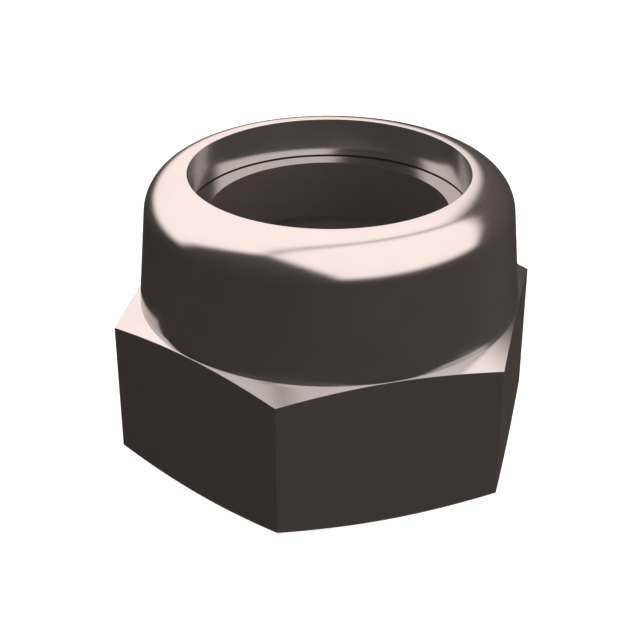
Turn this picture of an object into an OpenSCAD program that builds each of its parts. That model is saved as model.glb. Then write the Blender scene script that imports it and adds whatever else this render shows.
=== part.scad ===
// Hexagon lock nut: a steel nut whose tall collar is rolled in over a smooth lock ring.
// The nut stands on its bearing face, with its axis on +Z. Sizes are in millimetres.

/* [Hexagon] */
// Width across the flats
across_flats = 24; // [23.6:0.1:25]
// Height at which the collar rises out of the chamfered top
hex_h = 9.7; // [9:0.1:10.4]
// Slope of the chamfers at the top and the bottom of the hexagon, in degrees
chamfer_angle = 15; // [10:1:25]
// Outer diameter of the flat bearing face
bearing_d = 23; // [21:0.1:23.4]

/* [Collar] */
// Height of the whole nut
nut_h = 18; // [17.4:0.1:19]
// Step between the foot of the collar and the middle of each flat
collar_step = 0.03; // [0.02:0.01:0.4]
// Inward lean of the collar's side, in degrees
collar_lean = 5; // [2:0.5:7]
// Radius of the rolled crown
crown_r = 2.5; // [1.8:0.1:2.7]
// Diameter of the opening inside the rolled lip
opening_d = 17.4; // [16.6:0.1:17.6]
// Height of the lip's inner wall, from the top down to the lock ring
lip_h = 2.5; // [2:0.1:3]

/* [Lock ring] */
// Outer diameter of the lock ring
ring_d = 19.4; // [18.4:0.1:19.8]
// Bore of the lock ring, smaller than the bolt so that it grips the thread
ring_bore_d = 14.9; // [14.4:0.1:15.4]
// Height of the lock ring, clamped between its seat and the lip
ring_h = 4; // [3.5:0.1:4.4]
// Radius of the ring's upper outer edge, which the pocket follows
ring_edge_r = 0.5; // [0.3:0.1:0.8]
// Gap between the ring and the wall of its pocket
ring_side_gap = 0.05; // [0.02:0.01:0.1]

/* [Threaded bore] */
// Bore over the crests of the thread
thread_minor_d = 13.84; // [13.6:0.02:14.2]
// Diameter of the short relief between the thread and the ring
relief_d = 16.4; // [16:0.1:17]
// Height of the straight wall of the relief
relief_h = 1.2; // [0.8:0.1:1.5]
// Diameter at which the countersink opens in the bearing face
mouth_d = 17; // [16.2:0.1:17.3]
// Full angle of the countersinks at both ends of the thread, in degrees
countersink_angle = 120; // [90:5:120]

/* [Hidden] */
// Segments of a full circle
$fn = 96;
// Length by which a cut or a blank runs past the face that it crosses
past = 1;

// Hexagon
corners = 6;
corner_r = across_flats / 2 / cos(180 / corners);
blank_r = corner_r + past;
bearing_r = bearing_d / 2;
foot_r = across_flats / 2 - collar_step;
// Heights at which the blank's side meets the lower and the upper chamfer
blank_low_z = (blank_r - bearing_r) * tan(chamfer_angle);
blank_high_z = hex_h - (blank_r - foot_r) * tan(chamfer_angle);

// Crown: an arc that touches both the leaning side and the flat top
crown_z = nut_h - crown_r;
crown_x = foot_r - (crown_r + (crown_z - hex_h) * sin(collar_lean)) / cos(collar_lean);
knee = [crown_x + crown_r * cos(collar_lean), crown_z + crown_r * sin(collar_lean)];

// Pocket of the lock ring, under the lip
lip_z = nut_h - lip_h;
seat_z = lip_z - ring_h;
ring_r = ring_d / 2;
pocket_r = ring_r + ring_side_gap;
opening_r = opening_d / 2;

// Threaded bore
thread_r = thread_minor_d / 2;
relief_r = relief_d / 2;
relief_z = seat_z - relief_h;
mouth_r = mouth_d / 2;
countersink_slope = 1 / tan(countersink_angle / 2);
relief_foot_z = relief_z - (relief_r - thread_r) * countersink_slope;
mouth_h = (mouth_r - thread_r) * countersink_slope;

// Half section of the solid blank: chamfered disc, leaning collar and crown
module blank_section() {
    polygon([
        [0, 0],
        [bearing_r, 0],
        [blank_r, blank_low_z],
        [blank_r, blank_high_z],
        [foot_r, hex_h],
        knee,
        [crown_x, nut_h],
        [0, nut_h]
    ]);
    translate([crown_x, crown_z]) circle(crown_r);
}

// Half section, from inner_r to outer_r, of a disc or ring with its upper outer edge rounded
module rounded_section(inner_r, outer_r, low_z, high_z, edge_r) {
    difference() {
        translate([inner_r, low_z]) square([outer_r - inner_r, high_z - low_z]);
        translate([outer_r - edge_r, high_z - edge_r]) difference() {
            square(edge_r + past);
            circle(edge_r);
        }
    }
}

// Half section of the way through: countersink, thread, relief, ring pocket and opening
module bore_section() {
    polygon([
        [0, -past],
        [mouth_r + past / countersink_slope, -past],
        [thread_r, mouth_h],
        [thread_r, relief_foot_z],
        [relief_r, relief_z],
        [relief_r, seat_z],
        [opening_r, seat_z],
        [opening_r, nut_h + past],
        [0, nut_h + past]
    ]);
    rounded_section(0, pocket_r, seat_z, lip_z, ring_edge_r);
}

// The hexagon and its collar, formed as one piece of steel
module nut_body() {
    color([0.2, 0.175, 0.165])
    intersection() {
        rotate_extrude() difference() {
            blank_section();
            bore_section();
        }
        linear_extrude(nut_h + past) rotate(180 / corners) circle(corner_r, $fn = corners);
    }
}

// The smooth ring that grips the bolt's thread
module lock_ring() {
    color([0.3, 0.27, 0.26])
    rotate_extrude()
    rounded_section(ring_bore_d / 2, ring_r, seat_z, lip_z, ring_edge_r);
}

nut_body();
lock_ring();
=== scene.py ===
# %% [markdown]
# # Hex lock nut
# This lesson dresses a tall hexagon lock nut: a steel nut whose collar is rolled in over a smooth ring
# that grips the bolt. The imported model gives two solids, and each gets a piece of its own here, with
# the same form and finer surfaces: the nut body with its real thread, and the lock ring.
# The order is the camera first, then the studio, the two pieces and their finishes.

# %% Load the frame
import math
import bmesh
import bpy
from mathutils import Matrix, Vector


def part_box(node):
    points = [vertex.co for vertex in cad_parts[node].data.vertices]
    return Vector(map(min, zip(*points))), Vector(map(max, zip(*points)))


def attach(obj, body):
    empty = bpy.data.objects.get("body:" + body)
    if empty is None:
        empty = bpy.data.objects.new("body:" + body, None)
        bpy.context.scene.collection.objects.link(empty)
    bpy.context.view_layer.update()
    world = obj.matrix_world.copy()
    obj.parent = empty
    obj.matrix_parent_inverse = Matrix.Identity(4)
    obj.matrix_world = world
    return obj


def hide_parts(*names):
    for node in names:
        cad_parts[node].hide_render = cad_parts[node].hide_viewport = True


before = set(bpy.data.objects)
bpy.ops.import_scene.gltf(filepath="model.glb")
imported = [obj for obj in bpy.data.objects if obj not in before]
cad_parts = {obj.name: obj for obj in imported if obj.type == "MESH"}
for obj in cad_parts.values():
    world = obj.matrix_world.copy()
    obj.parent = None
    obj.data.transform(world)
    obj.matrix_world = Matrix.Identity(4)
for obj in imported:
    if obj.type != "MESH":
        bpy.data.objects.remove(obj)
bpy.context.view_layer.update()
nut_low, nut_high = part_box("nut_body")
ring_low, ring_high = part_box("lock_ring")
print("nodes in the frame:", sorted(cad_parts))

# %% [markdown]
# Everything in the frame is in metres, and a nut is drawn in millimetres, so one small factor turns
# the sizes of a drawing into sizes of the scene. The outer sizes come from the frame itself. That way
# the dressed pieces can't drift from the solids that they stand for. The hexagon's top is a cone that
# starts a hair inside the flats, at the foot of the collar.

# %% Sizes of the nut
MM = 0.001

across_flats = nut_high[0] - nut_low[0]
nut_height = nut_high[2]
ring_radius = ring_high[0]
ring_seat = ring_low[2]
ring_top = ring_high[2]

flat_count = 6
corner_radius = across_flats / 2 / math.cos(math.radians(30))
hexagon_height = 9.7 * MM
chamfer_slope = math.tan(math.radians(15))
bearing_radius = 11.5 * MM
collar_step = 0.03 * MM
collar_foot_radius = across_flats / 2 - collar_step
foot_land = 0.32 * MM
mean_lean = math.radians(5)
crown_radius = 2.5 * MM
opening_radius = 8.7 * MM
pocket_gap = 0.05 * MM
pocket_radius = ring_radius + pocket_gap
ring_bore_radius = 7.45 * MM
ring_edge_radius = 0.5 * MM
relief_radius = 8.2 * MM
relief_height = 1.2 * MM
mouth_radius = 8.5 * MM
countersink_slope = 1 / math.tan(math.radians(60))
print("across the flats, mm:", round(across_flats / MM, 3), "height, mm:", round(nut_height / MM, 3))

# %% [markdown]
# A metric thread is set by its pitch alone. The flanks stand at 60 degrees, the crests inside a nut
# are cut flat a quarter of the pitch wide, and the roots an eighth of it. The bore over the crests
# is the plain bore of the solid, so the thread is cut outwards from there.

# %% Sizes of the thread
thread_pitch = 2 * MM
root_radius = 8 * MM
crest_radius = 6.92 * MM
root_width = thread_pitch / 8
flank_slope = math.tan(math.radians(30))
print("depth of the thread, mm:", round((root_radius - crest_radius) / MM, 3))

# %% [markdown]
# The photograph looks down on the nut from the front, a little from the right, and from close by, so
# the far corners shrink. The camera could be placed by eye, but a nut has so many true edges that
# its place can be worked out: a turn about the axis, a tilt, a distance and a lens, all aimed at a
# point inside the hexagon. The lens came out at 80.41 mm. It was then lengthened a little, because
# the nut still looked a pixel too small. Depth of field and lens shift stay off.

# %% Camera
camera_turn = math.radians(12.881)
camera_height_angle = math.radians(28.361)
camera_distance = 92.92 * MM
camera_aim = Vector((-0.642, 0.187, 7.356)) * MM
camera_lens = 80.6
camera_sensor = 36
nearest_seen = 1 * MM

camera_data = bpy.data.cameras.new("photo_camera")
camera_data.lens = camera_lens
camera_data.sensor_width = camera_sensor
camera_data.clip_start = nearest_seen
camera = bpy.data.objects.new("photo_camera", camera_data)
bpy.context.scene.collection.objects.link(camera)
to_camera = Vector((
    math.sin(camera_turn) * math.cos(camera_height_angle),
    -math.cos(camera_turn) * math.cos(camera_height_angle),
    math.sin(camera_height_angle),
))
camera.location = camera_aim + to_camera * camera_distance
camera.rotation_euler = (math.pi / 2 - camera_height_angle, 0, camera_turn)
bpy.context.scene.camera = camera
print("camera at, mm:", [round(value / MM, 2) for value in camera.location])

# %% [markdown]
# Node trees are easier to read when each node is one line. The helper makes a node, sets its options
# and fills or links its inputs by name, and every finish and the studio below are built with it.

# %% Helper for nodes
def add_node(tree, kind, options=None, inputs=None):
    """Adds a node; an input is filled with a value, or linked when it is given a socket."""
    node = tree.nodes.new(kind)
    for name, value in (options or {}).items():
        setattr(node, name, value)
    for name, value in (inputs or {}).items():
        if isinstance(value, bpy.types.NodeSocket):
            tree.links.new(value, node.inputs[name])
        else:
            node.inputs[name].default_value = value
    return node


def math_node(tree, operation, first, second=0.0, third=0.0):
    """Adds a Math node and returns its result."""
    node = add_node(tree, "ShaderNodeMath", {"operation": operation}, {0: first, 1: second, 2: third})
    return node.outputs[0]


def soft_step(tree, value, start, end, low=0.0, high=1.0):
    """Turns a value into a soft step, which goes from low to high between start and end."""
    node = add_node(
        tree,
        "ShaderNodeMapRange",
        {"interpolation_type": "SMOOTHSTEP"},
        {"Value": value, "From Min": start, "From Max": end, "To Min": low, "To Max": high},
    )
    return node.outputs["Result"]


print("node helpers are ready")

# %% [markdown]
# Polished steel has hardly a colour of its own: it shows the room. The photograph's bright crown and
# dark flats come from a tent of light overhead and an almost black room around and below it. Two tall
# boards, as dark as the room and each folded about an upright edge, stand before the tent at the
# front left and at the back right. A thin seam in the tent runs overhead from one board to the other.
# All this could be built from cards and lamps around the nut. A world shader does it without noise:
# each edge of a board is a plane through the nut, so one dot product with the view direction tells
# its sides apart. The edges were first placed by following the reflections in the photograph back
# into the room, and then moved by trial until the tones came close. The real studio isn't known.

# %% Directions in the studio
def studio_direction(turn, height_angle):
    """A direction seen from the nut; turn is counted to the right from the camera, in degrees."""
    around = camera_turn - math.pi / 2 + math.radians(turn)
    up = math.radians(height_angle)
    return Vector((math.cos(around) * math.cos(up), math.sin(around) * math.cos(up), math.sin(up)))


def edge_plane(first, second):
    """The normal, pointing down, of the plane through the nut and two points of an edge."""
    normal = studio_direction(*first).cross(studio_direction(*second)).normalized()
    return normal if normal.z < 0 else -normal


left_board_fold = (-46.5, 50.5)
left_board_ends = ((-96, 7), (5, 9))
right_board_fold = (141.5, 45)
right_board_ends = ((96, 8), (183.5, 4))
seam_points = ((142, 76), (-52, 68))
print("fold of the left board:", [round(value, 3) for value in studio_direction(*left_board_fold)])

# %% [markdown]
# The tent is brighter than white, because steel gives back only about half of what it sees. Its light
# is warm, and so is the little light in the room: the brown tint that the photograph gives the steel
# comes from there. A board's mask is a product of four soft steps, one for each of its edges, so that
# a reflection of the board fades out as softly as in the photograph.

# %% Light of the studio
tent_tone = (1.78, 1.495, 1.4)
room_tone = (0.025, 0.0205, 0.019, 1)
room_right = (0.055, 0.046, 0.042, 1)
edge_softness = 0.09

world = bpy.data.worlds.new("studio")
bpy.context.scene.world = world
world.use_nodes = True
studio = world.node_tree
studio.nodes.clear()
view_direction = add_node(studio, "ShaderNodeTexCoord").outputs["Generated"]


def side_of_plane(normal):
    """How far a direction lies on the side of a plane that its normal points to."""
    node = add_node(studio, "ShaderNodeVectorMath", {"operation": "DOT_PRODUCT"})
    studio.links.new(view_direction, node.inputs[0])
    node.inputs[1].default_value = normal
    return node.outputs["Value"]


def board_mask(fold, ends):
    """1 on a folded board: under both of its sloping top edges and between its upright ends."""
    mask = None
    for end in ends:
        away = (studio_direction(end[0], 0) - studio_direction(fold[0], 0)).normalized()
        upright = Vector((0, 0, 1)).cross(studio_direction(end[0], 0))
        upright = upright if upright.dot(away) < 0 else -upright
        for normal in (edge_plane(fold, end), upright):
            inside = soft_step(studio, side_of_plane(normal), -edge_softness, edge_softness)
            mask = inside if mask is None else math_node(studio, "MULTIPLY", mask, inside)
    return mask


def mix_tones(factor, first, second):
    """Mixes two colours of the studio; sockets 6 and 7 of a Mix node are its colours."""
    node = add_node(
        studio,
        "ShaderNodeMix",
        {"data_type": "RGBA"},
        {"Factor": factor, 6: first, 7: second},
    )
    return node.outputs[2]


left_board = board_mask(left_board_fold, left_board_ends)
right_board = board_mask(right_board_fold, right_board_ends)
print("the studio has", len(studio.nodes), "nodes so far")

# %% [markdown]
# The tent hangs over a soft horizon that is tilted by one degree, and the room under it is lighter at
# the back right. From straight below comes the light of a pale table, which shows in the thread. The
# camera itself sees plain white behind the nut, as in the photograph, so a Light Path node keeps the
# studio for mirrored and scattered light only.

# %% Tent, seam and background
zenith = (-140, 89)
horizon_low = math.sin(math.radians(-3.5))
horizon_high = math.sin(math.radians(10.5))
seam_half_width = 0.11
seam_light = 0.42
room_turn = 150
room_turns_light = 0.3
table_tone = (0.42, 0.37, 0.34, 1)
table_shows = math.sin(math.radians(40))
white = (1, 1, 1, 1)

seam_offset = math_node(studio, "ABSOLUTE", side_of_plane(edge_plane(*seam_points)))
seam = soft_step(studio, seam_offset, 0, seam_half_width, seam_light, 1)
tent = add_node(studio, "ShaderNodeVectorMath", {"operation": "SCALE"}, {0: tent_tone, "Scale": seam})
room_side = soft_step(studio, side_of_plane(studio_direction(room_turn, 0)), room_turns_light, 1)
room = mix_tones(room_side, room_tone, room_right)
depth_of_view = side_of_plane((0, 0, -1))
room = mix_tones(soft_step(studio, depth_of_view, table_shows, 1), room, table_tone)
above = mix_tones(left_board, tent.outputs["Vector"], room)
above = mix_tones(right_board, above, room)
over_horizon = soft_step(studio, side_of_plane(studio_direction(*zenith)), horizon_low, horizon_high)
light = mix_tones(over_horizon, room, above)
seen_by_camera = add_node(studio, "ShaderNodeLightPath").outputs["Is Camera Ray"]
shown = mix_tones(seen_by_camera, light, white)
background = add_node(studio, "ShaderNodeBackground", None, {"Color": shown})
add_node(studio, "ShaderNodeOutputWorld", None, {"Surface": background.outputs[0]})
bpy.context.scene.view_settings.view_transform = "Standard"
print("the studio has", len(studio.nodes), "nodes")

# %% [markdown]
# The nut stands on a pale table. The photograph's ground is white right up to the nut, with neither a
# shadow nor a reflection, so the table glows just enough to come out white by itself. Polished steel
# would mirror the table and turn pale, so the table is left out of mirrored and scattered light, as a
# photographer hides it with a dark cloth out of the picture. It lies a hair under the bearing face,
# because two faces at one height flicker. It is clear from below, so that the thread and the
# bearing face can be looked at.

# %% Table
table_half_width = 3
table_drop = 0.01 * MM
table_grey = (0.3, 0.3, 0.3, 1)
table_roughness = 0.9
table_glow = 0.93

table_mesh = bmesh.new()
bmesh.ops.create_grid(table_mesh, x_segments=1, y_segments=1, size=table_half_width)
bmesh.ops.translate(table_mesh, verts=table_mesh.verts, vec=(0, 0, -table_drop))
table_data = bpy.data.meshes.new("table")
table_mesh.to_mesh(table_data)
table_mesh.free()
table = bpy.data.objects.new("table", table_data)
bpy.context.scene.collection.objects.link(table)
table.visible_glossy = False
table.visible_diffuse = False

table_white = bpy.data.materials.new("table_white")
table_white.use_nodes = True
table_tree = table_white.node_tree
table_shader = table_tree.nodes["Principled BSDF"]
table_shader.inputs["Base Color"].default_value = table_grey
table_shader.inputs["Roughness"].default_value = table_roughness
table_shader.inputs["Emission Color"].default_value = white
table_shader.inputs["Emission Strength"].default_value = table_glow
from_below = add_node(table_tree, "ShaderNodeNewGeometry").outputs["Backfacing"]
clear = add_node(table_tree, "ShaderNodeBsdfTransparent").outputs[0]
one_way = add_node(
    table_tree,
    "ShaderNodeMixShader",
    None,
    {0: from_below, 1: table_shader.outputs[0], 2: clear},
)
table_tree.links.new(one_way.outputs[0], table_tree.nodes["Material Output"].inputs["Surface"])
table_data.materials.append(table_white)
print("the table is", 2 * table_half_width, "m wide")

# %% [markdown]
# Both pieces are turned parts: their form is a half section, carried once round the axis. Such a
# section could be typed as a list of points, but a pen that draws it is easier to follow. The
# pen is a single vertex. It is extruded for a straight stretch, and spun about a centre for an arc.

# %% Pen for a half section
def start_section(radius, height):
    """Starts a half section in the XZ plane and returns it with its pen."""
    section = bmesh.new()
    pen = section.verts.new((radius, 0, height))
    return section, pen


def line_to(section, pen, radius, height):
    """Draws a straight stretch."""
    stretch = bmesh.ops.extrude_vert_indiv(section, verts=[pen])
    end = stretch["verts"][0]
    end.co = (radius, 0, height)
    return end


def arc_about(section, pen, radius, height, angle, steps):
    """Draws an arc about the centre at radius and height; a positive angle turns from out to up."""
    arc = bmesh.ops.spin(
        section,
        geom=[pen],
        cent=(radius, 0, height),
        axis=(0, -1, 0),
        angle=angle,
        steps=steps,
        use_merge=False,
        use_duplicate=False,
    )
    return [part for part in arc["geom_last"] if isinstance(part, bmesh.types.BMVert)][0]


quarter = math.pi / 2
print("the pen is ready")

# %% [markdown]
# No machined edge is perfectly sharp. A break of three hundredths of a millimetre is enough to catch
# the light as a hairline. Points closer together than the tiny distance called touching are merged,
# which closes the seam where the full spin meets its start. Only then are the faces turned outwards,
# because on a shell with a gap that step can guess wrong.

# %% Turn a section into a solid
turning_steps = 256
edge_break = 0.03 * MM
break_steps = 3
touching = 0.0005 * MM


def turn_section(section):
    """Closes the outline, spins it once round the axis and points its faces outwards."""
    bmesh.ops.remove_doubles(section, verts=section.verts, dist=touching)
    bmesh.ops.spin(
        section,
        geom=section.verts[:] + section.edges[:],
        cent=(0, 0, 0),
        axis=(0, 0, 1),
        angle=2 * math.pi,
        steps=turning_steps,
        use_merge=True,
        use_duplicate=False,
    )
    bmesh.ops.remove_doubles(section, verts=section.verts, dist=touching)
    bmesh.ops.recalc_face_normals(section, faces=section.faces)
    return section


print("edges are broken by, mm:", edge_break / MM)

# %% [markdown]
# The collar's side has to run into the crown without a kink, or the reflections break there. The
# crown's arc lies where a side that leans in by 5 degrees, from the very foot, would touch it.
# But a thin band of reflections over the chamfers suggests that the side first rises straight, for
# about a third of a millimetre. So the side starts at the top of that land and leans a little more,
# and its angle is that of the tangent from there to the arc.

# %% Lean of the collar
crown_height = nut_height - crown_radius
crown_lean_out = crown_radius + (crown_height - hexagon_height) * math.sin(mean_lean)
crown_centre = collar_foot_radius - crown_lean_out / math.cos(mean_lean)
side_run = collar_foot_radius - crown_centre
side_rise = crown_height - hexagon_height - foot_land
angle_at_land = math.acos(crown_radius / math.hypot(side_run, side_rise))
collar_lean = angle_at_land - math.atan2(side_rise, side_run)
print("above the land the side leans in by, degrees:", round(math.degrees(collar_lean), 3))

# %% [markdown]
# The nut body starts as a turned blank, wider than the hexagon. Going round the section from the
# bearing face, the pen draws the lower chamfer, the wide rim, the upper chamfer, the land and the
# leaning side of the collar, and the rolled crown. It then comes down inside: the opening, the pocket
# that holds the ring, the relief, the bore for the thread and the countersink.

# %% Section of the blank
blank_spare = 1 * MM
blank_radius = corner_radius + blank_spare
blank_low = (blank_radius - bearing_radius) * chamfer_slope
blank_high = hexagon_height - (blank_radius - collar_foot_radius) * chamfer_slope
relief_low = ring_seat - relief_height
relief_foot = relief_low - (relief_radius - crest_radius) * countersink_slope
mouth_height = (mouth_radius - crest_radius) * countersink_slope
crown_steps = 36
pocket_steps = 8

section, pen = start_section(mouth_radius, 0)
pen = line_to(section, pen, bearing_radius, 0)
pen = line_to(section, pen, blank_radius, blank_low)
pen = line_to(section, pen, blank_radius, blank_high)
pen = line_to(section, pen, collar_foot_radius, hexagon_height)
pen = line_to(section, pen, collar_foot_radius, hexagon_height + foot_land)
pen = line_to(
    section,
    pen,
    crown_centre + crown_radius * math.cos(collar_lean),
    crown_height + crown_radius * math.sin(collar_lean),
)
pen = arc_about(section, pen, crown_centre, crown_height, quarter - collar_lean, crown_steps)
pen = line_to(section, pen, opening_radius + edge_break, nut_height)
pen = arc_about(section, pen, opening_radius + edge_break, nut_height - edge_break, quarter, break_steps)
pen = line_to(section, pen, opening_radius, ring_top)
pen = line_to(section, pen, pocket_radius - ring_edge_radius, ring_top)
pen = arc_about(
    section,
    pen,
    pocket_radius - ring_edge_radius,
    ring_top - ring_edge_radius,
    -quarter,
    pocket_steps,
)
pen = line_to(section, pen, pocket_radius, ring_seat)
pen = line_to(section, pen, relief_radius, ring_seat)
pen = line_to(section, pen, relief_radius, relief_low)
pen = line_to(section, pen, crest_radius, relief_foot)
pen = line_to(section, pen, crest_radius, mouth_height)
pen = line_to(section, pen, mouth_radius, 0)
blank = turn_section(section)
print("the blank has", len(blank.faces), "faces")

# %% [markdown]
# A hexagon is six flats cut from the round blank, and that is just how bisect_plane works: each cut
# drops what lies outside a plane, and the open cut is closed with one flat face. The chamfers
# are cones, so the flats end in the curved edges that every turned nut has.

# %% Cut the six flats
for number in range(flat_count):
    turn = 2 * math.pi * number / flat_count
    outwards = Vector((math.cos(turn), math.sin(turn), 0))
    cut = bmesh.ops.bisect_plane(
        blank,
        geom=blank.verts[:] + blank.edges[:] + blank.faces[:],
        dist=touching,
        plane_co=outwards * across_flats / 2,
        plane_no=outwards,
        clear_outer=True,
    )
    rim = [part for part in cut["geom_cut"] if isinstance(part, bmesh.types.BMEdge)]
    bmesh.ops.holes_fill(blank, edges=rim, sides=0)
bmesh.ops.recalc_face_normals(blank, faces=blank.faces)
open_edges = [edge for edge in blank.edges if len(edge.link_faces) != 2]
print("faces after the cuts:", len(blank.faces), "open edges:", len(open_edges))

# %% [markdown]
# The six upright corners get a small bevel, as barrelling leaves them. Their edges are found by the
# radius of both their ends. The bevel operator takes the edges, a width and a number of steps. Its
# profile and material are given as well, because their defaults in a script aren't the editor's.

# %% Break the upright corners
corner_break = 0.04 * MM
corner_steps = 4
corner_reach = 4 * touching


def on_corner(vertex):
    """True for a vertex on one of the upright corners."""
    return abs(vertex.co.xy.length - corner_radius) < corner_reach


uprights = [edge for edge in blank.edges if on_corner(edge.verts[0]) and on_corner(edge.verts[1])]
bmesh.ops.bevel(
    blank,
    geom=uprights,
    offset=corner_break,
    affect="EDGES",
    segments=corner_steps,
    profile=0.5,
    material=-1,
)
print("upright corners broken:", len(uprights))

# %% [markdown]
# The curved edges between the flats and the chamfers get a finer bevel, of a hundredth of a
# millimetre, because half way along a flat the upper chamfer is only a few hundredths wide. Such an
# edge has a flat on one side and a chamfer on the other, and the height of a face's normal tells
# which is which: nothing on a flat, and the cosine of 15 degrees on a chamfer.

# %% Break the curved edges
rim_break = 0.01 * MM
rim_steps = 2
upright_limit = 0.01
chamfer_limits = (0.9, 0.99)
hexagon_reach = 0.99 * collar_foot_radius


def is_flat(face):
    """True for one of the six flats or the bevels between them."""
    outside = face.calc_center_median().xy.length > hexagon_reach
    return outside and abs(face.normal.z) < upright_limit


def is_chamfer(face):
    """True for a face of the lower or the upper chamfer."""
    outside = face.calc_center_median().xy.length > bearing_radius
    return outside and chamfer_limits[0] < abs(face.normal.z) < chamfer_limits[1]


curved = []
for edge in blank.edges:
    if len(edge.link_faces) == 2:
        first, second = edge.link_faces
        if (is_flat(first) and is_chamfer(second)) or (is_flat(second) and is_chamfer(first)):
            curved.append(edge)
bmesh.ops.bevel(
    blank,
    geom=curved,
    offset=rim_break,
    affect="EDGES",
    segments=rim_steps,
    profile=0.5,
    material=-1,
    clamp_overlap=False,
)
print("curved edges broken:", len(curved))

# %% [markdown]
# The thread is cut as on the bench, with a tap. Its cutting ridge is the outline of one groove:
# narrow at the root, with flanks at 30 degrees to each side. Spun about the axis while it climbs one
# pitch a turn, it becomes a right-hand helix, and a Boolean takes it out of the bore. The ridge
# runs out through the countersink at one end and into the relief at the other. Inside the bore it
# keeps one width, where there is nothing left to cut.

# %% Tap
tap_inner_radius = 6.6 * MM
tap_waist_radius = 6.86 * MM
tap_low = -1.5 * MM
tap_turns = 6
waist_half_width = root_width / 2 + (root_radius - tap_waist_radius) * flank_slope

tap = bmesh.new()
ridge = [
    tap.verts.new((tap_inner_radius, 0, tap_low - waist_half_width)),
    tap.verts.new((tap_waist_radius, 0, tap_low - waist_half_width)),
    tap.verts.new((root_radius, 0, tap_low - root_width / 2)),
    tap.verts.new((root_radius, 0, tap_low + root_width / 2)),
    tap.verts.new((tap_waist_radius, 0, tap_low + waist_half_width)),
    tap.verts.new((tap_inner_radius, 0, tap_low + waist_half_width)),
]
tap_end = tap.faces.new(ridge)
tap_steps = tap_turns * turning_steps
bmesh.ops.spin(
    tap,
    geom=[tap_end] + tap_end.edges[:] + ridge,
    cent=(0, 0, 0),
    axis=(0, 0, 1),
    dvec=(0, 0, thread_pitch / turning_steps),
    angle=2 * math.pi * tap_turns,
    steps=tap_steps,
    use_merge=False,
    use_duplicate=False,
)
bmesh.ops.recalc_face_normals(tap, faces=tap.faces)
tap_top = max(vertex.co.z for vertex in tap.verts)
print("the tap ends at, mm:", round(tap_top / MM, 3), "with", len(tap.faces), "faces")

# %% [markdown]
# A bmesh has no Boolean of its own, so both meshes become objects for a moment, and the modifier's
# result is kept as the new mesh. The tap is then thrown away.

# %% Cut the thread
def new_object(name, shape):
    """Makes a linked object of a bmesh and frees the bmesh."""
    data = bpy.data.meshes.new(name)
    shape.to_mesh(data)
    shape.free()
    made = bpy.data.objects.new(name, data)
    bpy.context.scene.collection.objects.link(made)
    return made


def keep_modifiers(thing):
    """Puts the result of an object's modifiers in its mesh and clears them."""
    evaluated = thing.evaluated_get(bpy.context.evaluated_depsgraph_get())
    finished = bpy.data.meshes.new_from_object(evaluated)
    rough = thing.data
    thing.modifiers.clear()
    thing.data = finished
    bpy.data.meshes.remove(rough)


nut = new_object("steel_nut", blank)
tap_object = new_object("tap", tap)
cutting = nut.modifiers.new("thread", "BOOLEAN")
cutting.operation = "DIFFERENCE"
cutting.solver = "EXACT"
cutting.object = tap_object
keep_modifiers(nut)
bpy.data.objects.remove(tap_object)
print("faces with the thread:", len(nut.data.polygons))

# %% [markdown]
# The lock ring is a plain moulded ring that sits on the seat and touches the lip. Its upper outer
# edge is round, because the lip was rolled over it. Inside the lip its face is dished a little, and
# the shade of that step makes the dark hairline that the photograph has there. The dish is a guess:
# its depth was picked by trial, so that the hairline and the ring's edge fall where the photograph
# has them. The lower end of the bore is rounded by a tenth, so that the bolt enters without tearing it.

# %% Lock ring
bore_break = 0.01 * MM
entry_break = 0.1 * MM
entry_steps = 6
dish_depth = 0.08 * MM
dish_radius = 9 * MM
dish_height = ring_top - dish_depth

section, pen = start_section(ring_bore_radius + entry_break, ring_seat)
pen = line_to(section, pen, ring_radius - edge_break, ring_seat)
pen = arc_about(section, pen, ring_radius - edge_break, ring_seat + edge_break, quarter, break_steps)
pen = line_to(section, pen, ring_radius, ring_top - ring_edge_radius)
pen = arc_about(
    section,
    pen,
    ring_radius - ring_edge_radius,
    ring_top - ring_edge_radius,
    quarter,
    pocket_steps,
)
pen = line_to(section, pen, dish_radius, dish_height)
pen = line_to(section, pen, ring_bore_radius + bore_break, dish_height)
pen = arc_about(
    section,
    pen,
    ring_bore_radius + bore_break,
    dish_height - bore_break,
    quarter,
    break_steps,
)
pen = line_to(section, pen, ring_bore_radius, ring_seat + entry_break)
pen = arc_about(
    section,
    pen,
    ring_bore_radius + entry_break,
    ring_seat + entry_break,
    quarter,
    entry_steps,
)
ring = new_object("grip_ring", turn_section(section))
print("faces of the ring:", len(ring.data.polygons))

# %% [markdown]
# Shading is smooth where the metal flows, and breaks where it is cut. Edges over 25 degrees
# are marked sharp. The upper edge of the land turns by only 5 degrees, but the photograph's
# reflections break there, so it is marked too. Weighted normals let the large faces decide, so that a
# flat stays flat right up to its bevel. The modifier adds up normals times areas and gives up where
# the sum is tiny, as it is in square metres on a nut. So each mesh is weighed in millimetres and then
# brought back to metres.

# %% Smooth the shading
sharp_angle = math.radians(25)
even_weight = 50
land_top = hexagon_height + foot_land


def on_land_top(vertex):
    """True for a vertex on the upper edge of the land at the collar's foot."""
    on_side = abs(vertex.co.xy.length - collar_foot_radius) < touching
    return on_side and abs(vertex.co.z - land_top) < touching


for piece in (nut, ring):
    piece.data.polygons.foreach_set("use_smooth", [True] * len(piece.data.polygons))
    piece.data.set_sharp_from_angle(angle=sharp_angle)
    if piece is nut:
        for edge in piece.data.edges:
            if all(on_land_top(piece.data.vertices[number]) for number in edge.vertices):
                edge.use_edge_sharp = True
    piece.data.transform(Matrix.Scale(1 / MM, 4))
    weighting = piece.modifiers.new("weighted_normals", "WEIGHTED_NORMAL")
    weighting.keep_sharp = True
    weighting.weight = even_weight
    keep_modifiers(piece)
    piece.data.transform(Matrix.Scale(MM, 4))
print("shading is set")

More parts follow.
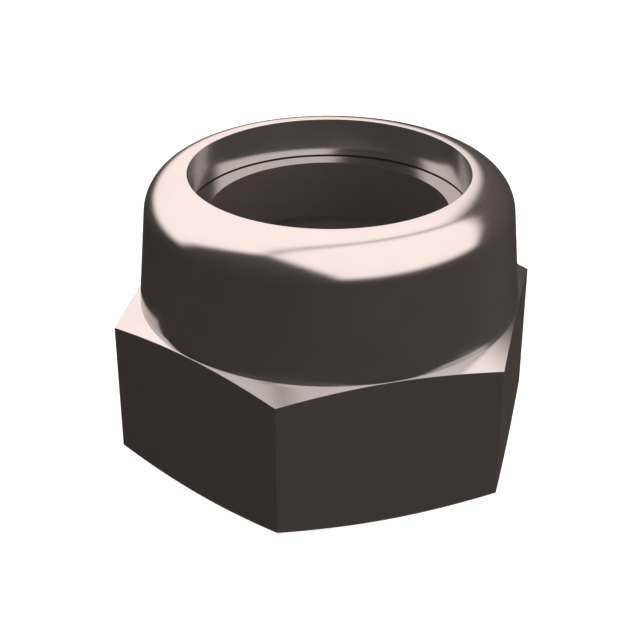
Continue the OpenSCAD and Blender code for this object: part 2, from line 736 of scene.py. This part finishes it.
# %% [markdown]
# Three effects come back in several finishes, so each is a node group with named sockets. The first
# is drift: no rolled or moulded surface has quite the same tone everywhere, and slow noise changes
# it by a few hundredths. The noise runs from 0 to 1 and is stretched to swing about nothing.

# %% Group: drift of tone
def new_group(name, inputs, outputs):
    """Starts a shader node group with named sockets and returns it with its two ends."""
    group = bpy.data.node_groups.new(name, "ShaderNodeTree")
    for title, kind, value in inputs:
        socket = group.interface.new_socket(title, in_out="INPUT", socket_type=kind)
        socket.default_value = value
    for title, kind in outputs:
        group.interface.new_socket(title, in_out="OUTPUT", socket_type=kind)
    entrance = group.nodes.new("NodeGroupInput")
    way_out = group.nodes.new("NodeGroupOutput")
    return group, entrance.outputs, way_out.inputs


drift, drift_in, drift_out = new_group(
    "tone_drift",
    [
        ("Tone", "NodeSocketColor", (0.5, 0.5, 0.5, 1)),
        ("Patch Size", "NodeSocketFloat", 3 * MM),
        ("Amount", "NodeSocketFloat", 0.05),
    ],
    [("Tone", "NodeSocketColor"), ("Shift", "NodeSocketFloat")],
)
drift_place = add_node(drift, "ShaderNodeTexCoord").outputs["Object"]
drift_noise = add_node(
    drift,
    "ShaderNodeTexNoise",
    {"noise_dimensions": "3D"},
    {
        "Vector": drift_place,
        "Scale": math_node(drift, "DIVIDE", 1, drift_in["Patch Size"]),
        "Detail": 3,
        "Roughness": 0.5,
    },
).outputs["Fac"]
drift_swing = math_node(drift, "MULTIPLY_ADD", drift_noise, 2, -1)
drift_shift = math_node(drift, "MULTIPLY", drift_swing, drift_in["Amount"])
drift_tone = add_node(
    drift,
    "ShaderNodeVectorMath",
    {"operation": "SCALE"},
    {0: drift_in["Tone"], "Scale": math_node(drift, "ADD", drift_shift, 1)},
)
drift.links.new(drift_tone.outputs["Vector"], drift_out["Tone"])
drift.links.new(drift_shift, drift_out["Shift"])
print("tone_drift has", len(drift.nodes), "nodes")

# %% [markdown]
# The second effect is tool marks. On a turned face they are circles about the axis, so their noise
# reads only the radius and the height. On a flat they run along the bar, so the noise reads the place
# across the flat and is drawn out along the axis. One group makes both, with a stretch for each.

# %% Group: tool marks
marks_low = 0.35
marks_high = 0.7

marks, marks_in, marks_out = new_group(
    "tool_marks",
    [
        ("Turned", "NodeSocketFloat", 1),
        ("Pitch", "NodeSocketFloat", 0.1 * MM),
        ("Length", "NodeSocketFloat", 8 * MM),
    ],
    [("Height", "NodeSocketFloat"), ("Sheen Mask", "NodeSocketFloat")],
)
marks_place = add_node(marks, "ShaderNodeTexCoord").outputs["Object"]
marks_split = add_node(marks, "ShaderNodeSeparateXYZ", None, {0: marks_place}).outputs
marks_flat = add_node(marks, "ShaderNodeCombineXYZ", None, {0: marks_split["X"], 1: marks_split["Y"]})
marks_radius = add_node(marks, "ShaderNodeVectorMath", {"operation": "LENGTH"})
marks.links.new(marks_flat.outputs[0], marks_radius.inputs[0])
marks_scale = math_node(marks, "DIVIDE", 1, marks_in["Pitch"])
marks_along = math_node(marks, "DIVIDE", 1, marks_in["Length"])
turned_vector = add_node(
    marks,
    "ShaderNodeCombineXYZ",
    None,
    {
        0: math_node(marks, "MULTIPLY", marks_radius.outputs["Value"], marks_scale),
        1: math_node(marks, "MULTIPLY", marks_split["Z"], marks_scale),
    },
)
drawn_vector = add_node(
    marks,
    "ShaderNodeCombineXYZ",
    None,
    {
        0: math_node(marks, "MULTIPLY", marks_split["X"], marks_scale),
        1: math_node(marks, "MULTIPLY", marks_split["Y"], marks_scale),
        2: math_node(marks, "MULTIPLY", marks_split["Z"], marks_along),
    },
)
marks_vector = add_node(
    marks,
    "ShaderNodeMix",
    {"data_type": "VECTOR"},
    {"Factor": marks_in["Turned"], 4: drawn_vector.outputs[0], 5: turned_vector.outputs[0]},
)
marks_noise = add_node(
    marks,
    "ShaderNodeTexNoise",
    {"noise_dimensions": "3D"},
    {"Vector": marks_vector.outputs[1], "Scale": 1, "Detail": 2, "Roughness": 0.6},
).outputs["Fac"]
marks.links.new(marks_noise, marks_out["Height"])
marks.links.new(soft_step(marks, marks_noise, marks_low, marks_high), marks_out["Sheen Mask"])
print("tool_marks has", len(marks.nodes), "nodes")

# %% [markdown]
# The third effect is wear from the spanner. The photograph's nut looks new, so there is little of it.
# It polishes the edges of the hexagon, and above all its corners. The group finds them by measuring.
# A point of an edge lies in a flat, so the longest of its three reaches across the hexagon is the
# full one. It also lies in a chamfer, or else at a corner, where the shortest reach is nothing.
# Noise breaks the worn line up.

# %% Group: wear on the edges of the hexagon
wear_low = 0.35
wear_high = 0.65

wear, wear_in, wear_out = new_group(
    "spanner_wear",
    [("Width", "NodeSocketFloat", 0.15 * MM), ("Patch Size", "NodeSocketFloat", 0.8 * MM)],
    [("Wear", "NodeSocketFloat")],
)
wear_place = add_node(wear, "ShaderNodeTexCoord").outputs["Object"]
wear_split = add_node(wear, "ShaderNodeSeparateXYZ", None, {0: wear_place}).outputs
wear_flat = add_node(wear, "ShaderNodeCombineXYZ", None, {0: wear_split["X"], 1: wear_split["Y"]})
wear_radius = add_node(wear, "ShaderNodeVectorMath", {"operation": "LENGTH"})
wear.links.new(wear_flat.outputs[0], wear_radius.inputs[0])
reaches = []
for number in range(flat_count // 2):
    turn = 2 * math.pi * number / flat_count
    reach = add_node(wear, "ShaderNodeVectorMath", {"operation": "DOT_PRODUCT"})
    wear.links.new(wear_place, reach.inputs[0])
    reach.inputs[1].default_value = (math.cos(turn), math.sin(turn), 0)
    reaches.append(math_node(wear, "ABSOLUTE", reach.outputs["Value"]))
longest = math_node(wear, "MAXIMUM", math_node(wear, "MAXIMUM", reaches[0], reaches[1]), reaches[2])
shortest = math_node(wear, "MINIMUM", math_node(wear, "MINIMUM", reaches[0], reaches[1]), reaches[2])
to_flat = math_node(wear, "SUBTRACT", across_flats / 2, longest)
chamfer_run = math_node(wear, "SUBTRACT", wear_radius.outputs["Value"], collar_foot_radius)
chamfer_top = math_node(wear, "MULTIPLY_ADD", chamfer_run, -chamfer_slope, hexagon_height)
to_top = math_node(wear, "SUBTRACT", chamfer_top, wear_split["Z"])
bearing_run = math_node(wear, "SUBTRACT", wear_radius.outputs["Value"], bearing_radius)
to_bottom = math_node(wear, "MULTIPLY_ADD", bearing_run, -chamfer_slope, wear_split["Z"])


def near(distance):
    """1 on an edge and 0 from the width of the wear outwards."""
    share = math_node(wear, "DIVIDE", math_node(wear, "ABSOLUTE", distance), wear_in["Width"])
    return soft_step(wear, share, 0, 1, 1, 0)


on_chamfer = math_node(wear, "MAXIMUM", near(to_top), near(to_bottom))
second_face = math_node(wear, "MAXIMUM", on_chamfer, near(shortest))
wear_noise = add_node(
    wear,
    "ShaderNodeTexNoise",
    None,
    {
        "Vector": wear_place,
        "Scale": math_node(wear, "DIVIDE", 1, wear_in["Patch Size"]),
        "Detail": 4,
        "Roughness": 0.6,
    },
).outputs["Fac"]
wear_breaks = soft_step(wear, wear_noise, wear_low, wear_high)
on_edge = math_node(wear, "MULTIPLY", near(to_flat), second_face)
wear.links.new(math_node(wear, "MULTIPLY", on_edge, wear_breaks), wear_out["Wear"])
print("spanner_wear has", len(wear.nodes), "nodes")

# %% [markdown]
# The nut looks nearly black, but a black finish would not mirror the tent so brightly. It is plain
# steel without a colour of its own, which gives back about half of the light, and it looks dark
# where it mirrors the dark room. A thin haze of scattered light lifts the darkest faces off black, so
# Metallic is one less the haze. Specular Tint holds back the extra gloss at grazing angles, of which
# the photograph shows little. One function makes three versions. The turned faces carry circles, the
# flats carry straight draw marks, and the thread is a little rougher.

# %% Finish: steel
steel_tone = (0.56, 0.56, 0.56, 1)
worn_tone = (0.63, 0.63, 0.63, 1)
steel_haze = 0.085
grazing_tone = (0.8, 0.8, 0.8, 1)
steel_patch = 2.5 * MM
steel_drift = 0.05
steel_uneven = 0.4
mark_length = 6 * MM
mark_grain = 0.03
worn_width = 0.16 * MM
worn_patch = 0.7 * MM
worn_share = 0.5
worn_polish = -0.05


def steel_finish(name, turned, pitch, roughness, depth):
    """Makes the steel with marks that are turned (1) or drawn (0)."""
    material = bpy.data.materials.new(name)
    material.use_nodes = True
    tree = material.node_tree
    shader = tree.nodes["Principled BSDF"]
    tones = add_node(
        tree,
        "ShaderNodeGroup",
        {"node_tree": drift},
        {"Tone": steel_tone, "Patch Size": steel_patch, "Amount": steel_drift},
    )
    tooling = add_node(
        tree,
        "ShaderNodeGroup",
        {"node_tree": marks},
        {"Turned": turned, "Pitch": pitch, "Length": mark_length},
    )
    edges = add_node(
        tree,
        "ShaderNodeGroup",
        {"node_tree": wear},
        {"Width": worn_width, "Patch Size": worn_patch},
    )
    worn = math_node(tree, "MULTIPLY", edges.outputs["Wear"], worn_share)
    tone = add_node(
        tree,
        "ShaderNodeMix",
        {"data_type": "RGBA"},
        {"Factor": worn, 6: tones.outputs["Tone"], 7: worn_tone},
    )
    grain = math_node(tree, "MULTIPLY_ADD", tooling.outputs["Sheen Mask"], mark_grain, roughness)
    uneven = math_node(tree, "MULTIPLY_ADD", tones.outputs["Shift"], steel_uneven, grain)
    polished = math_node(tree, "MULTIPLY_ADD", worn, worn_polish, uneven)
    bump = add_node(
        tree,
        "ShaderNodeBump",
        None,
        {"Height": tooling.outputs["Height"], "Distance": depth, "Strength": 1},
    )
    shader.inputs["Metallic"].default_value = 1 - steel_haze
    shader.inputs["Specular Tint"].default_value = grazing_tone
    tree.links.new(tone.outputs[2], shader.inputs["Base Color"])
    tree.links.new(polished, shader.inputs["Roughness"])
    tree.links.new(bump.outputs["Normal"], shader.inputs["Normal"])
    return material


turned_steel = steel_finish(
    "turned_steel", turned=1, pitch=0.12 * MM, roughness=0.15, depth=0.0003 * MM
)
drawn_steel = steel_finish(
    "drawn_steel", turned=0, pitch=0.12 * MM, roughness=0.16, depth=0.0005 * MM
)
threaded_steel = steel_finish(
    "threaded_steel", turned=1, pitch=0.06 * MM, roughness=0.26, depth=0.0008 * MM
)
print("steel finishes:", [finish.name for finish in (turned_steel, drawn_steel, threaded_steel)])

# %% [markdown]
# Each face of the nut takes one of the three finishes by where it lies: on a flat, in the thread, or
# on a turned face. Then the nut rides on the root, as nothing here moves, and the solid that it
# replaces, nut_body, is hidden.

# %% Dress the nut
TURNED, DRAWN, THREADED = range(3)


def flat_distance(point):
    """How far a point lies from the axis, measured squarely to the nearest flat."""
    turns = [2 * math.pi * number / flat_count for number in range(flat_count)]
    return max(point.x * math.cos(turn) + point.y * math.sin(turn) for turn in turns)


for finish in (turned_steel, drawn_steel, threaded_steel):
    nut.data.materials.append(finish)
counts = [0, 0, 0]
for face in nut.data.polygons:
    in_thread = face.center.xy.length < root_radius + edge_break and face.center.z < relief_foot
    at_flat = flat_distance(face.center) > across_flats / 2 - edge_break
    on_flat = at_flat and abs(face.normal.z) < upright_limit
    face.material_index = THREADED if in_thread else DRAWN if on_flat else TURNED
    counts[face.material_index] += 1
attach(nut, "root")
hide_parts("nut_body")
print("turned, drawn and threaded faces:", counts)

# %% [markdown]
# The ring is moulded in a dark, hard polyamide. Its bore is left as moulded, with a soft gloss, and
# the moulded faces get a lighter tone than the top: that lighter tone is painted light, which lifts the
# shaded bore. The upper face is taken to be pressed smooth by the rolling of the lip, because the
# photograph shows it nearly as bright as the steel. So it has a hard gloss under a coat, both with a
# refraction index that is higher than any plastic's. One function makes both.

# %% Finish: dark polyamide
moulded_patch = 1.8 * MM
moulded_drift = 0.1
moulded_uneven = 0.3
skin_pitch = 0.2 * MM
skin_length = 2 * MM
skin_depth = 0.0005 * MM
coat_roughness = 0.1


def polyamide_finish(name, tone, roughness, index, coat):
    """Makes the polyamide with a refraction index for its gloss and a coat from 0 to 1."""
    material = bpy.data.materials.new(name)
    material.use_nodes = True
    tree = material.node_tree
    shader = tree.nodes["Principled BSDF"]
    tones = add_node(
        tree,
        "ShaderNodeGroup",
        {"node_tree": drift},
        {"Tone": tone, "Patch Size": moulded_patch, "Amount": moulded_drift},
    )
    skin = add_node(
        tree,
        "ShaderNodeGroup",
        {"node_tree": marks},
        {"Turned": 1, "Pitch": skin_pitch, "Length": skin_length},
    )
    bump = add_node(
        tree,
        "ShaderNodeBump",
        None,
        {"Height": skin.outputs["Height"], "Distance": skin_depth, "Strength": 1},
    )
    uneven = math_node(tree, "MULTIPLY_ADD", tones.outputs["Shift"], moulded_uneven, roughness)
    shader.inputs["IOR"].default_value = index
    shader.inputs["Coat Weight"].default_value = coat
    shader.inputs["Coat IOR"].default_value = index
    shader.inputs["Coat Roughness"].default_value = coat_roughness
    tree.links.new(tones.outputs["Tone"], shader.inputs["Base Color"])
    tree.links.new(uneven, shader.inputs["Roughness"])
    tree.links.new(bump.outputs["Normal"], shader.inputs["Normal"])
    return material


# The moulded tone is lighter than the pressed one: painted light that lifts the shaded bore.
pressed_tone = (0.04, 0.034, 0.031, 1)
moulded_tone_painted_light = (0.071, 0.067, 0.064, 1)
pressed_polyamide = polyamide_finish(
    "pressed_polyamide", pressed_tone, roughness=0.13, index=3.0, coat=1
)
moulded_polyamide_painted_light = polyamide_finish(
    "moulded_polyamide_painted_light", moulded_tone_painted_light, roughness=0.45, index=1.5, coat=0
)
print("polyamide finishes:", [finish.name for finish in (pressed_polyamide, moulded_polyamide_painted_light)])

# %% [markdown]
# Only the dished upper face is pressed, with the little that lies above it under the lip. The rest of
# the ring keeps the finish of the mould, with the lighter tone of painted light that lifts the bore.

# %% Dress the ring
MOULDED, PRESSED = range(2)

ring.data.materials.append(moulded_polyamide_painted_light)
ring.data.materials.append(pressed_polyamide)
for face in ring.data.polygons:
    on_top = face.center.z > dish_height - touching
    face.material_index = PRESSED if on_top else MOULDED
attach(ring, "root")
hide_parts("lock_ring")
print("pressed faces:", sum(face.material_index for face in ring.data.polygons))
